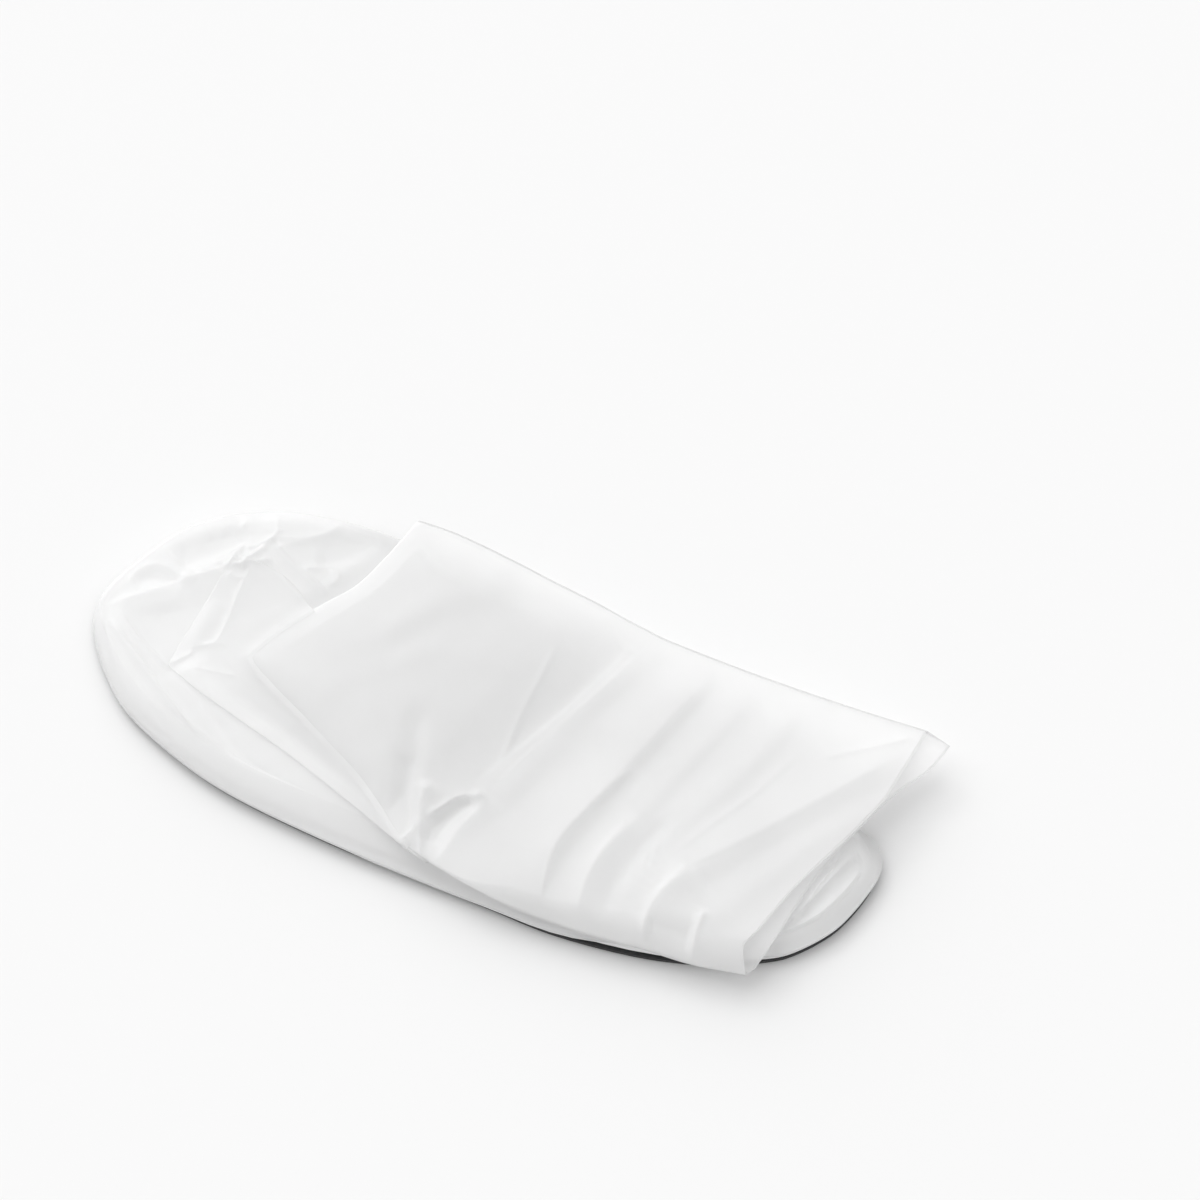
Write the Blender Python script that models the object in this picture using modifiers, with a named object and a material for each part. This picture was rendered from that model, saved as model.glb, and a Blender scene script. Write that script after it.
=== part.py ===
"""Overshoe: a black rubber sole that carries a foot and a long shaft of frosted film.

The shoe lies on its sole with the shaft pressed flat and folded once: it runs forward from the
ankle, turns over above the toes and comes back to its open cuff above the heel.
-X is the toe, +X the heel, -Y the outer side of the foot and +Z up. Lengths are in metres.
"""

import math

import bmesh
import bpy
import numpy as np

# Driving dimensions

SOLE_LENGTH = 0.293
SOLE_THICKNESS = 0.0032
TREAD_DEPTH = 0.0010
RIM_WIDTH = 0.0060
BEAD_WIDTH = 0.0015
PLACARD_LENGTH = 0.032
PLACARD_WIDTH = 0.020
PLACARD_CORNER = 0.004
PLACARD_TURN = math.radians(-22.0)

FOOTBED_THICKNESS = 0.0008
FOOTBED_MARGIN = 0.0012
FILM = 0.0010
GAP = 0.0003

FOOT_HEIGHT = 0.0100
SHAFT_LEG = 0.0036
ANKLE_LENGTH = 0.088
ANKLE_WIDTH = 0.052

# Heights that follow from them, all of the middle of a film

FLANGE_Z = SOLE_THICKNESS + GAP + FOOTBED_THICKNESS + GAP + FILM / 2
FOOT_Z = FOOT_HEIGHT - FILM / 2
SHAFT_Z = FOOT_HEIGHT + GAP + FILM / 2
LEG_GAP = SHAFT_LEG - FILM
TURN_INNER = 0.0008
TURN_OUTER = TURN_INNER + LEG_GAP
TURN_Z = SHAFT_Z + TURN_OUTER

# Each table below is in shares of the sole's length, 293 to the whole

SHARE = SOLE_LENGTH / 293

# Sole outline from the toe along the outer side to the heel and back: x, y
OUTLINE = (
    (-150.5, 4), (-149, -4), (-145, -10.5), (-137.5, -19.6), (-124, -31), (-100, -41.5),
    (-77, -47.8), (-43, -52.4), (-11, -55), (20, -57), (45, -58.6), (75, -56.5), (100, -51),
    (114, -45), (123, -39.6), (133, -29), (138.5, -19), (142, -8), (141.5, -1), (137, 5),
    (128, 12), (112, 18.5), (90, 22), (72, 24.5), (45, 31.5), (15, 43), (-15, 54),
    (-45, 60.5), (-60, 61.5), (-75, 60.5), (-90, 58), (-105, 54), (-120, 47), (-135, 34.5),
    (-145, 20), (-149.5, 11),
)

# Side wall of the foot: x, rise and lean of the outer side, rise and lean of the inner side
WALL = (
    (-150, 6, 1, 6, 1),
    (-130, 7, 4, 8, -3),
    (-95, 7, 6, 9, -4),
    (-50, 6, 8, 6, 1),
    (-10, 4, 11, 5, 3),
    (40, 2.3, 13, 4, 3),
    (100, 2.3, 11, 4, 3),
    (125, 4, 4, 4, 3),
    (142, 4, 2, 4, 2),
)

# Folds of the foot's film: x and y of both ends, rise, half width
FOOT_FOLDS = (
    (-142, -2, -110, -28, 1.6, 6.0),
    (-110, -28, -82, -39, 1.2, 6.0),
    (-112, -14, -82, -26, 2.4, 8.0),
    (-82, -26, -39, -41, 2.4, 8.0),
    (-39, -41, -8, -50, 1.6, 7.0),
    (-106, 26, -112, -6, 4.6, 10.0),
    (-110, 28, -92, 40, 3.2, 9.0),
    (-140, 4, -112, 25, 3.2, 7.0),
    (-140, 26, -118, 21, 3.0, 7.0),
    (-98, 38, -78, 28, 4.0, 8.0),
    (-122, 40, -86, 47, 3.6, 10.0),
)

# Edges of the shaft's upper leg: x, y
FOLD_LINE = (
    (-3, -52), (-16, -43), (-29, -34), (-49, -24), (-74, -13.5), (-86.5, -5), (-86, 3),
    (-79, 19), (-67, 36), (-57, 54), (-51, 69),
)
NEAR_ROLL = ((-3, -52), (13, -54), (39, -54.6), (57, -56.5), (72, -56), (100, -54.5), (109, -52))
FAR_SEAM = ((-51, 69), (-20, 67.5), (4, 63), (21, 58.5), (38, 54.5), (50, 53), (105, 50), (142, 48))
CUFF_TOP = ((109, -52), (107, -45), (115, -25), (122, -8), (132, 11), (138, 28), (142, 48))
CUFF_UNDER = ((109, -52), (118, -39), (122, -24), (128, -8), (133, 10), (144, 32), (151, 46))
ANKLE_CENTRE = (62, -13)

# Waves of the upper leg's top film: x and y of both ends, rise, half width
SHAFT_FOLDS = (
    (39, 49, 8, -26, 1.9, 5.0),
    (54, 46, 40, 8, 1.6, 6.5),
    (40, 8, 29, -26, 1.6, 6.5),
    (66, 44, 50, 5, -1.0, 6.0),
    (50, 5, 37, -30, -1.0, 6.0),
    (107, 22, 71, -36, 1.2, 6.0),
    (88, 40, 58, -30, 0.6, 7.0),
    (106, -46, 119, -6, 1.9, 9.0),
    (-8, -28, -14, -46, 1.8, 3.5),
    (4, -26, -6, -46, 1.4, 3.0),
    (-30, 10, -4, -14, -1.0, 22.0),
    (-76, 4, -40, 44, 0.9, 6.0),
    (-80, -6, -26, -34, 1.0, 5.0),
)

OUTLINE_POINTS = 72
LOOP_POINTS = 16
FOOT_ROWS = 17
ANKLE_ROWS = 8
TURN_ROWS = 6
UPPER_ROWS = 24


# Small helpers

def material(name, colour, roughness, transmission=0.0):
    made = bpy.data.materials.new(name)
    made.use_nodes = True
    shader = made.node_tree.nodes["Principled BSDF"]
    shader.inputs["Base Color"].default_value = (*colour, 1.0)
    shader.inputs["Roughness"].default_value = roughness
    shader.inputs["Metallic"].default_value = 0.0
    shader.inputs["Transmission Weight"].default_value = transmission
    made.diffuse_color = (*colour, 1.0)
    return made


def ease(value):
    """0 below 0, 1 above 1 and a smooth step between."""
    held = np.clip(value, 0.0, 1.0)
    return held * held * (3 - 2 * held)


def curve_through(points, closed):
    """A dense smooth curve through the points, by Catmull and Rom."""
    held = np.array(points, float)
    count = len(held)
    if closed:
        padded = np.vstack([held[-1], held, held[:2]])
        spans = count
    else:
        padded = np.vstack([2 * held[0] - held[1], held, 2 * held[-1] - held[-2]])
        spans = count - 1
    share = np.linspace(0, 1, 12, endpoint=False)[:, None]
    pieces = []
    for k in range(spans):
        a, b, c, d = padded[k:k + 4]
        pieces.append(0.5 * (2 * b + (c - a) * share + (2 * a - 5 * b + 4 * c - d) * share ** 2
                             + (3 * b - a - 3 * c + d) * share ** 3))
    if not closed:
        pieces.append(held[-1:])
    return np.vstack(pieces)


def along(curve, shares, closed=False):
    """Points of the curve at these shares of its length."""
    if closed:
        curve = np.vstack([curve, curve[:1]])
    run = np.r_[0, np.cumsum(np.hypot(*np.diff(curve, axis=0).T))]
    run = run / run[-1]
    return np.stack([np.interp(shares, run, curve[:, 0]), np.interp(shares, run, curve[:, 1])], 1)


def inward(ring):
    """Unit normals of a closed ring that runs anticlockwise seen from above, to its inside."""
    step = np.roll(ring, -1, axis=0) - np.roll(ring, 1, axis=0)
    step = step / np.hypot(*step.T)[:, None]
    return np.stack([-step[:, 1], step[:, 0]], 1)


def folds_at(table, x, y):
    """Sum of the folds of a table at points in shares."""
    total = np.zeros_like(x)
    for x0, y0, x1, y1, rise, half in table:
        dx, dy = x1 - x0, y1 - y0
        place = np.clip(((x - x0) * dx + (y - y0) * dy) / (dx * dx + dy * dy), 0, 1)
        away = np.hypot(x - x0 - place * dx, y - y0 - place * dy)
        total = total + rise * np.exp(-(away / half) ** 2)
    return total


def body(name, rows, mat, smooth, close_rows=False, cap_ends=False):
    """One mesh object from rows of points; each row is a closed ring."""
    mesh = bpy.data.meshes.new(name)
    count = len(rows[0])
    points = np.vstack(rows)
    faces = []
    spans = len(rows) if close_rows else len(rows) - 1
    for r in range(spans):
        nxt = (r + 1) % len(rows)
        for k in range(count):
            m = (k + 1) % count
            faces.append((r * count + k, r * count + m, nxt * count + m, nxt * count + k))
    if cap_ends:
        last = (len(rows) - 1) * count
        faces.append(tuple(range(count - 1, -1, -1)))
        faces.append(tuple(range(last, last + count)))
    mesh.from_pydata(points.tolist(), [], faces)
    work = bmesh.new()
    work.from_mesh(mesh)
    bmesh.ops.recalc_face_normals(work, faces=work.faces[:])
    for face in work.faces:
        face.smooth = smooth
    work.to_mesh(mesh)
    work.free()
    made = bpy.data.objects.new(name, mesh)
    made.data.materials.append(mat)
    return made


def give_wall(thing):
    wall = thing.modifiers.new("Film wall", "SOLIDIFY")
    wall.thickness = FILM
    wall.offset = 0.0
    wall.use_even_offset = False
    wall.use_rim = True


def at_height(ring, z):
    return np.c_[ring, np.full(len(ring), z)]


# Start from an empty scene

for old in list(bpy.data.objects):
    bpy.data.objects.remove(old, do_unlink=True)

shoe = bpy.data.collections.new("Overshoe")
bpy.context.scene.collection.children.link(shoe)
cutters = bpy.data.collections.new("Cutters")
bpy.context.scene.collection.children.link(cutters)

black = material("sole_rubber", (0.022, 0.022, 0.024), 0.55)
white = material("footbed_white", (0.82, 0.83, 0.84), 0.70)
frosted = material("film_frosted", (0.86, 0.88, 0.89), 0.38, 0.35)

outline_curve = curve_through(np.array(OUTLINE) * SHARE, True)
outline = along(outline_curve, np.arange(OUTLINE_POINTS) / OUTLINE_POINTS, True)
inside = inward(outline)


# Outsole: one plate with a rim, a bead round the tread field and a placard

def sole_ring(inset, z):
    return at_height(outline + inside * inset, z)


bead_outer = RIM_WIDTH + 0.0003
bead_inner = bead_outer + BEAD_WIDTH
sole_rows = [
    sole_ring(0.0008, SOLE_THICKNESS),
    sole_ring(0.0, SOLE_THICKNESS - 0.0006),
    sole_ring(0.0, TREAD_DEPTH),
    sole_ring(0.0007, TREAD_DEPTH * 0.5),
    sole_ring(RIM_WIDTH - 0.0009, TREAD_DEPTH * 0.5),
    sole_ring(RIM_WIDTH - 0.0006, TREAD_DEPTH),
    sole_ring(bead_outer, TREAD_DEPTH),
    sole_ring(bead_outer + 0.0002, 0.0),
    sole_ring(bead_inner - 0.0002, 0.0),
    sole_ring(bead_inner, TREAD_DEPTH),
]
outsole = body("outsole", sole_rows, black, False, cap_ends=True)
shoe.objects.link(outsole)

corner = np.linspace(0, math.pi / 2, 5)
placard_ring = []
for quarter in range(4):
    centre_x = (PLACARD_LENGTH / 2 - PLACARD_CORNER) * (1 if quarter in (0, 3) else -1)
    centre_y = (PLACARD_WIDTH / 2 - PLACARD_CORNER) * (1 if quarter in (0, 1) else -1)
    for turn in corner + quarter * math.pi / 2:
        placard_ring.append((centre_x + PLACARD_CORNER * math.cos(turn),
                             centre_y + PLACARD_CORNER * math.sin(turn)))
placard_ring = np.array(placard_ring)
placard = body(
    "placard_add",
    [at_height(placard_ring, 0.0), at_height(placard_ring, TREAD_DEPTH + 0.0008)],
    black, False, cap_ends=True,
)
placard.location = (2 * SHARE, -4 * SHARE, 0.0)
placard.rotation_euler.z = PLACARD_TURN
placard.hide_render = True
placard.display_type = "WIRE"
cutters.objects.link(placard)
cutters.hide_render = True
join = outsole.modifiers.new("Placard", "BOOLEAN")
join.operation = "UNION"
join.solver = "EXACT"
join.object = placard


# Footbed: the white inner sole between the outsole and the film's flange

footbed_bottom = SOLE_THICKNESS + GAP
footbed = body(
    "footbed",
    [
        sole_ring(FOOTBED_MARGIN, footbed_bottom),
        sole_ring(FOOTBED_MARGIN, footbed_bottom + FOOTBED_THICKNESS * 0.7),
        sole_ring(FOOTBED_MARGIN + 0.0005, footbed_bottom + FOOTBED_THICKNESS),
    ],
    white, False, cap_ends=True,
)
shoe.objects.link(footbed)


# Foot of film: flange on the sole's rim, side wall, top with its folds, open at the ankle

x = outline[:, 0] / SHARE
y = outline[:, 1] / SHARE
wall = np.array(WALL, float)
middle = np.interp(x, (-150, -60, 30, 142), (6, 7, -11, -8))
inner_side = ease(0.5 + (y - middle) / 24)
rise = SHARE * (np.interp(x, wall[:, 0], wall[:, 1]) * (1 - inner_side)
                + np.interp(x, wall[:, 0], wall[:, 3]) * inner_side)
lean = SHARE * (np.interp(x, wall[:, 0], wall[:, 2]) * (1 - inner_side)
                + np.interp(x, wall[:, 0], wall[:, 4]) * inner_side)

ankle = np.array(ANKLE_CENTRE) * SHARE
bearing = np.arctan2((outline[:, 1] - ankle[1]) / ANKLE_WIDTH, (outline[:, 0] - ankle[0]) / ANKLE_LENGTH)
ankle_ring = np.stack([
    ankle[0] + ANKLE_LENGTH / 2 * np.cos(bearing),
    ankle[1] + ANKLE_WIDTH / 2 * np.sin(bearing),
], 1)

fold_curve = curve_through(np.array(FOLD_LINE) * SHARE, False)
wall_top = outline + inside * lean[:, None]


def clear_of_shaft(flat):
    """1 in front of the shaft's turn and 0 under the shaft."""
    shaft_edge = np.interp(flat[:, 1], fold_curve[:, 1], fold_curve[:, 0])
    return ease((shaft_edge - 0.003 - flat[:, 0]) / 0.010)


def foot_row(flat, z):
    """A row of the foot's film, pressed down to the foot's height where the shaft lies on it."""
    over = np.maximum(0.0, z - FOOT_Z)
    return np.c_[flat, z - over * (1 - clear_of_shaft(flat))]


foot_rows = [
    at_height(outline + inside * 0.0068, FLANGE_Z),
    at_height(outline + inside * 0.0014, FLANGE_Z),
    foot_row(outline + inside * np.minimum(0.0004, lean * 0.5)[:, None], FLANGE_Z + rise * 0.20),
    foot_row(outline + inside * (lean * 0.45)[:, None], FLANGE_Z + rise * 0.62),
    foot_row(outline + inside * (lean * 0.80)[:, None], FLANGE_Z + rise * 0.90),
]
for share in np.linspace(0, 1, FOOT_ROWS):
    flat = wall_top + (ankle_ring - wall_top) * share ** 1.15
    level = (FLANGE_Z + rise) + (FOOT_Z - FLANGE_Z - rise) * ease(share * 2.2)
    lift = SHARE * folds_at(FOOT_FOLDS, flat[:, 0] / SHARE, flat[:, 1] / SHARE) * ease(share * 9 + 0.15)
    foot_rows.append(foot_row(flat, level + lift))
foot_upper = body("foot_upper", foot_rows, frosted, True)
give_wall(foot_upper)
shoe.objects.link(foot_upper)


# Shaft: one flat tube of film, ankle ring, under leg, turn and upper leg to the open cuff

half_turn = np.linspace(-1, 1, LOOP_POINTS)
across = np.sin(math.pi / 2 * half_turn)
loop_across = np.r_[across, across[-2:0:-1]]
loop_side = np.r_[np.ones(LOOP_POINTS), -np.ones(LOOP_POINTS - 2)]
loop_share = (loop_across + 1) / 2


def loop_swell(power):
    """+1 on the tube's outer film, -1 on its inner film and 0 at its two edges."""
    return loop_side * np.sqrt(np.maximum(0.0, 1 - np.abs(loop_across) ** power))


fold_edge = along(fold_curve, loop_share)
before = along(fold_curve, np.clip(loop_share - 0.03, 0, 1))
after = along(fold_curve, np.clip(loop_share + 0.03, 0, 1))
tangent = after - before
tangent = tangent / np.hypot(*tangent.T)[:, None]
to_heel = np.stack([tangent[:, 1], -tangent[:, 0]], 1)
turn_axis = fold_edge + to_heel * TURN_OUTER

shaft_rows = []

# Under leg, from the ankle ring forward to the turn
for share in np.linspace(0, 1, ANKLE_ROWS, endpoint=False):
    swell = loop_swell(2 + 6 * ease(share * 2))
    ring_swell = loop_swell(2)
    ring = np.stack([ankle[0] - ANKLE_LENGTH / 2 * ring_swell, ankle[1] + ANKLE_WIDTH / 2 * loop_across], 1)
    flat = ring + (turn_axis - ring) * share
    half_gap = LEG_GAP / 2 * ease(share * 4)
    shaft_rows.append(np.c_[flat, SHAFT_Z + half_gap - half_gap * swell])

# Turn above the toes
swell = loop_swell(8)
radius = (TURN_OUTER + TURN_INNER) / 2 + (TURN_OUTER - TURN_INNER) / 2 * swell
for angle in np.linspace(-math.pi / 2, math.pi / 2, TURN_ROWS + 1):
    flat = turn_axis - to_heel * (radius * math.cos(angle))[:, None]
    shaft_rows.append(np.c_[flat, TURN_Z + radius * math.sin(angle)])

# Upper leg back to the cuff
near_points = np.array(NEAR_ROLL) * SHARE
far_points = np.array(FAR_SEAM) * SHARE
near_points[0] = turn_axis[0]
far_points[0] = turn_axis[LOOP_POINTS - 1]
near_curve = curve_through(near_points, False)
far_curve = curve_through(far_points, False)
top_edge = along(curve_through(np.array(CUFF_TOP) * SHARE, False), loop_share)
under_edge = along(curve_through(np.array(CUFF_UNDER) * SHARE, False), loop_share)
cuff_edge = under_edge + (top_edge - under_edge) * ((1 + swell) / 2)[:, None]
for share in np.linspace(0, 1, UPPER_ROWS + 1)[1:]:
    chord = turn_axis + (cuff_edge - turn_axis) * share
    near_shift = along(near_curve, [share])[0] - (near_points[0] + (near_points[-1] - near_points[0]) * share)
    far_shift = along(far_curve, [share])[0] - (far_points[0] + (far_points[-1] - far_points[0]) * share)
    flat = chord + (1 - loop_share)[:, None] * near_shift + loop_share[:, None] * far_shift
    sx = flat[:, 0] / SHARE
    sy = flat[:, 1] / SHARE
    z = TURN_Z + radius
    top = (1 + swell) / 2
    roll = (1 - ease((sy + 56.0) / 12.0)) * ease((sx - 12.0) / 30.0)
    z = z - SHARE * roll * (5.4 - 2.4 * top)
    z = z - SHARE * 3.3 * ease((sx - 74.0) / 34.0) * (1 - top)
    z = z + SHARE * folds_at(SHAFT_FOLDS, sx, sy) * np.clip(top * 1.3 - 0.3, 0, 1)
    shaft_rows.append(np.c_[flat, z])

shaft = body("shaft", shaft_rows, frosted, True)
give_wall(shaft)
shoe.objects.link(shaft)


# Put the middle of the whole part's footprint at the origin

bpy.context.view_layer.update()
graph = bpy.context.evaluated_depsgraph_get()
low = np.full(3, np.inf)
high = np.full(3, -np.inf)
for thing in shoe.objects:
    seen = thing.evaluated_get(graph)
    mesh = seen.to_mesh()
    held = np.empty(len(mesh.vertices) * 3)
    mesh.vertices.foreach_get("co", held)
    held = held.reshape(-1, 3)
    low = np.minimum(low, held.min(axis=0))
    high = np.maximum(high, held.max(axis=0))
    seen.to_mesh_clear()
shift = ((low[0] + high[0]) / 2, (low[1] + high[1]) / 2, low[2])
for thing in list(shoe.objects) + list(cutters.objects):
    thing.location.x -= shift[0]
    thing.location.y -= shift[1]
    thing.location.z -= shift[2]
print(f"overshoe {high - low} m, moved by {shift}")
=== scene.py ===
# %% [markdown]
# An overshoe lies on its black sole. Everything above the sole is thin frosted film: the foot, pressed
# flat over a white footbed, and a long shaft that runs forward from the ankle, folds once above the
# toes and comes back to its open cuff over the heel. The imported model is loaded first, as a fixed
# frame that all the pieces below are fitted to.

# %% Load the frame
import math

import bmesh
import bpy
import numpy as np
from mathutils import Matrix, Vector
from mathutils.bvhtree import BVHTree


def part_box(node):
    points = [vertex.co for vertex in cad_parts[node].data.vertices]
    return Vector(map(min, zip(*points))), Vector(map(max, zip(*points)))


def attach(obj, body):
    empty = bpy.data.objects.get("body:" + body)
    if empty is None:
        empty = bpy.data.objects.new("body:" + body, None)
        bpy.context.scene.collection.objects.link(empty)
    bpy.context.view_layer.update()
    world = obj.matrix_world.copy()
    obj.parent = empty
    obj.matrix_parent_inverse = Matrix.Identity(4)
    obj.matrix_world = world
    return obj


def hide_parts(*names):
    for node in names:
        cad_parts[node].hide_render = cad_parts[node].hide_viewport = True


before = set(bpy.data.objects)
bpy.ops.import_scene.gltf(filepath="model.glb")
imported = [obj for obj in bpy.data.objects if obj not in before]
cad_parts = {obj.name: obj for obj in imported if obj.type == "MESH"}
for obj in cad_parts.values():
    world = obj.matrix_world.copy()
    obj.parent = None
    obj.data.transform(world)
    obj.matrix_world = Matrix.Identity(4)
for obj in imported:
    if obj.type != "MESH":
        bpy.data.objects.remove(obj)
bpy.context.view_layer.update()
MM = 0.001

# %% [markdown]
# All tables below are in millimetres, with the toe end of the sole at x = -150 and the heel at 142.
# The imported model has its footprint's middle at the origin, so one shift, read from the sole's own
# box, takes table places to the frame.

# %% Place of the tables in the frame
SOLE_TOP = 3.2
TREAD_DEPTH = 1.0
sole_low, sole_high = [np.array(corner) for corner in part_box("outsole")]
SOLE_BOX_MIDDLE = np.array([-4.247, 1.459])
SHIFT = (sole_low[:2] + sole_high[:2]) / 2 - SOLE_BOX_MIDDLE * MM
print("tables move by", SHIFT * 1000, "mm; sole box", (sole_high - sole_low) * 1000)


def to_frame(points):
    """Table millimetres to metres in the frame."""
    held = np.array(points, float) * MM
    held[..., 0] += SHIFT[0]
    held[..., 1] += SHIFT[1]
    return held


# %% [markdown]
# The camera looks down at about 65 degrees with a long lens, from the side of the foot that faces
# outwards. The angle and the lens were assumed, and its place was fitted to the outline of the sole.
# Colours are shown by the Standard transform, because the scene is almost all white and has to stay so.

# %% Camera and colour
CAMERA_PLACE = (148.4, -313.2, 863.9)
CAMERA_AIM = (18.2, 66.0, 0.0)
LENS = 79.2

camera_data = bpy.data.cameras.new("view_camera")
camera_data.lens = LENS
camera_data.sensor_width = 36.0
camera_data.clip_start = 0.01
camera = bpy.data.objects.new("view_camera", camera_data)
bpy.context.scene.collection.objects.link(camera)
camera.location = Vector(to_frame(CAMERA_PLACE))
aim = Vector(to_frame(CAMERA_AIM)) - camera.location
camera.rotation_euler = aim.to_track_quat("-Z", "Y").to_euler()
bpy.context.scene.camera = camera
bpy.context.scene.view_settings.view_transform = "Standard"
print("camera at", tuple(round(v, 4) for v in camera.location))

# %% [markdown]
# A studio for white goods on white: half of the light comes evenly from all round, and half from a
# broad far lamp behind the toe, which gives each fold a lighter and a darker flank and the sole its
# contact shadow. A small weak lamp beside it puts a glint on the crests. Film passes light on many
# times, so the count of bounces is raised.

# %% Floor and light
FLOOR_WHITE = 0.85
FLOOR_HALF = 6.0
FLOOR_LEVEL = -0.0001
SKY_STRENGTH = 0.69
KEY_STRENGTH = 1.80
KEY_FROM = (-0.74, 0.62, 0.82)
KEY_WIDTH = math.radians(76)
GLINT_STRENGTH = 0.32
GLINT_FROM = (-0.66, 0.50, 0.62)
GLINT_WIDTH = math.radians(16)


def plain_material(name, colour, roughness):
    made = bpy.data.materials.new(name)
    made.use_nodes = True
    shader = made.node_tree.nodes["Principled BSDF"]
    shader.inputs["Base Color"].default_value = (*colour, 1.0)
    shader.inputs["Roughness"].default_value = roughness
    return made


def link_object(name, data):
    made = bpy.data.objects.new(name, data)
    bpy.context.scene.collection.objects.link(made)
    return made


def sun(name, strength, comes_from, width):
    """A far lamp that shines from this direction and looks this wide."""
    data = bpy.data.lights.new(name, "SUN")
    data.energy = strength
    data.angle = width
    lamp = link_object(name, data)
    lamp.rotation_euler = (-Vector(comes_from)).to_track_quat("-Z", "Y").to_euler()


floor_mesh = bpy.data.meshes.new("floor")
floor_corners = [(x * FLOOR_HALF, y * FLOOR_HALF, FLOOR_LEVEL)
                 for x, y in ((-1, -1), (1, -1), (1, 1), (-1, 1))]
floor_mesh.from_pydata(floor_corners, [], [(0, 1, 2, 3)])
floor = link_object("floor", floor_mesh)
floor_mesh.materials.append(plain_material("floor_white", (FLOOR_WHITE,) * 3, 0.9))

world = bpy.data.worlds.new("studio")
bpy.context.scene.world = world
world.use_nodes = True
world.node_tree.nodes["Background"].inputs["Color"].default_value = (1.0, 1.0, 1.0, 1.0)
world.node_tree.nodes["Background"].inputs["Strength"].default_value = SKY_STRENGTH

sun("key_soft", KEY_STRENGTH, KEY_FROM, KEY_WIDTH)
sun("glint", GLINT_STRENGTH, GLINT_FROM, GLINT_WIDTH)

bounces = bpy.context.scene.cycles
bounces.max_bounces = 24
bounces.diffuse_bounces = 12
bounces.transmission_bounces = 24
bounces.transparent_max_bounces = 64
print("floor and light made")

# %% [markdown]
# Small helpers carry all of the film work: a smooth curve through chosen points, points at a share of
# its length, the distance of many points to such a curve, the height of a table of folds at many
# points, and a mesh from rows of points.

# %% Helpers
# Share of a fold's length over which each of its ends fades out
FOLD_TAPER = 0.18


def ease(value):
    """0 below 0, 1 above 1 and a smooth step between."""
    held = np.clip(value, 0.0, 1.0)
    return held * held * (3 - 2 * held)


def curve_through(points, closed=False, steps=12):
    """A dense smooth curve through the points, by Catmull and Rom."""
    held = np.array(points, float)
    if closed:
        padded = np.vstack([held[-1], held, held[:2]])
        spans = len(held)
    else:
        padded = np.vstack([2 * held[0] - held[1], held, 2 * held[-1] - held[-2]])
        spans = len(held) - 1
    share = np.linspace(0, 1, steps, endpoint=False)[:, None]
    pieces = []
    for k in range(spans):
        a, b, c, d = padded[k:k + 4]
        pieces.append(0.5 * (2 * b + (c - a) * share + (2 * a - 5 * b + 4 * c - d) * share ** 2
                             + (3 * b - a - 3 * c + d) * share ** 3))
    if not closed:
        pieces.append(held[-1:])
    return np.vstack(pieces)


def along(curve, shares, closed=False):
    """Points of the curve at these shares of its length."""
    if closed:
        curve = np.vstack([curve, curve[:1]])
    run = np.r_[0, np.cumsum(np.hypot(*np.diff(curve[:, :2], axis=0).T))]
    run = run / run[-1]
    return np.stack([np.interp(shares, run, curve[:, k]) for k in range(curve.shape[1])], 1)


def near_curve(points, curve):
    """For each point: distance to the curve, with + on its left, and share of the curve's length."""
    step = np.diff(curve, axis=0)
    length = np.hypot(*step.T)
    run = np.r_[0, np.cumsum(length)]
    best = np.full(len(points), 1e9)
    side = np.zeros(len(points))
    place = np.zeros(len(points))
    for k in range(len(step)):
        rel = points - curve[k]
        t = np.clip((rel @ step[k]) / (length[k] ** 2 + 1e-12), 0, 1)
        away = rel - t[:, None] * step[k]
        dist = np.hypot(away[:, 0], away[:, 1])
        closer = dist < best
        best = np.where(closer, dist, best)
        side = np.where(closer, np.sign(step[k][0] * rel[:, 1] - step[k][1] * rel[:, 0]), side)
        place = np.where(closer, run[k] + t * length[k], place)
    return best * np.where(side == 0, 1, side), place / run[-1]


def relief(points, folds, sharp=False):
    """Height of all the folds at these points.

    A fold holds its rise, its half width on the left and on the right, and the points it runs through.
    A soft fold has a round back. A sharp one comes to an edge, as a crease does.
    """
    total = np.zeros(len(points))
    for rise, left, right, *line in folds:
        away, place = near_curve(points, curve_through(line, steps=5))
        span = np.abs(away) / np.where(away > 0, left, right)
        taper = ease(place / FOLD_TAPER) * ease((1 - place) / FOLD_TAPER)
        shape = np.exp(0.2 - np.hypot(span, 0.2)) if sharp else np.exp(-span ** 2)
        total += rise * taper * shape
    return total


def ripple(points, seed, amount, length, count=14):
    """Small uneven waves, the same on each run: sines in seeded directions."""
    chance = np.random.default_rng(seed)
    total = np.zeros(len(points))
    for _ in range(count):
        turn = chance.uniform(0, math.pi)
        wave = 2 * math.pi / (length * chance.uniform(0.6, 1.8))
        phase = chance.uniform(0, 2 * math.pi)
        total += np.sin(wave * (points @ np.array([math.cos(turn), math.sin(turn)])) + phase)
    return amount * total / math.sqrt(count)


def skin(name, rows, ring=True, flip=False):
    """A mesh object from rows of points in millimetres; each row is a closed ring if ring is set."""
    count = len(rows[0])
    points = to_frame(np.vstack(rows))
    last = count if ring else count - 1
    faces = []
    for r in range(len(rows) - 1):
        for k in range(last):
            m = (k + 1) % count
            quad = (r * count + k, r * count + m, (r + 1) * count + m, (r + 1) * count + k)
            faces.append(quad[::-1] if flip else quad)
    mesh = bpy.data.meshes.new(name)
    mesh.from_pydata(points.tolist(), [], faces)
    mesh.polygons.foreach_set("use_smooth", [True] * len(mesh.polygons))
    return link_object(name, mesh)


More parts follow.
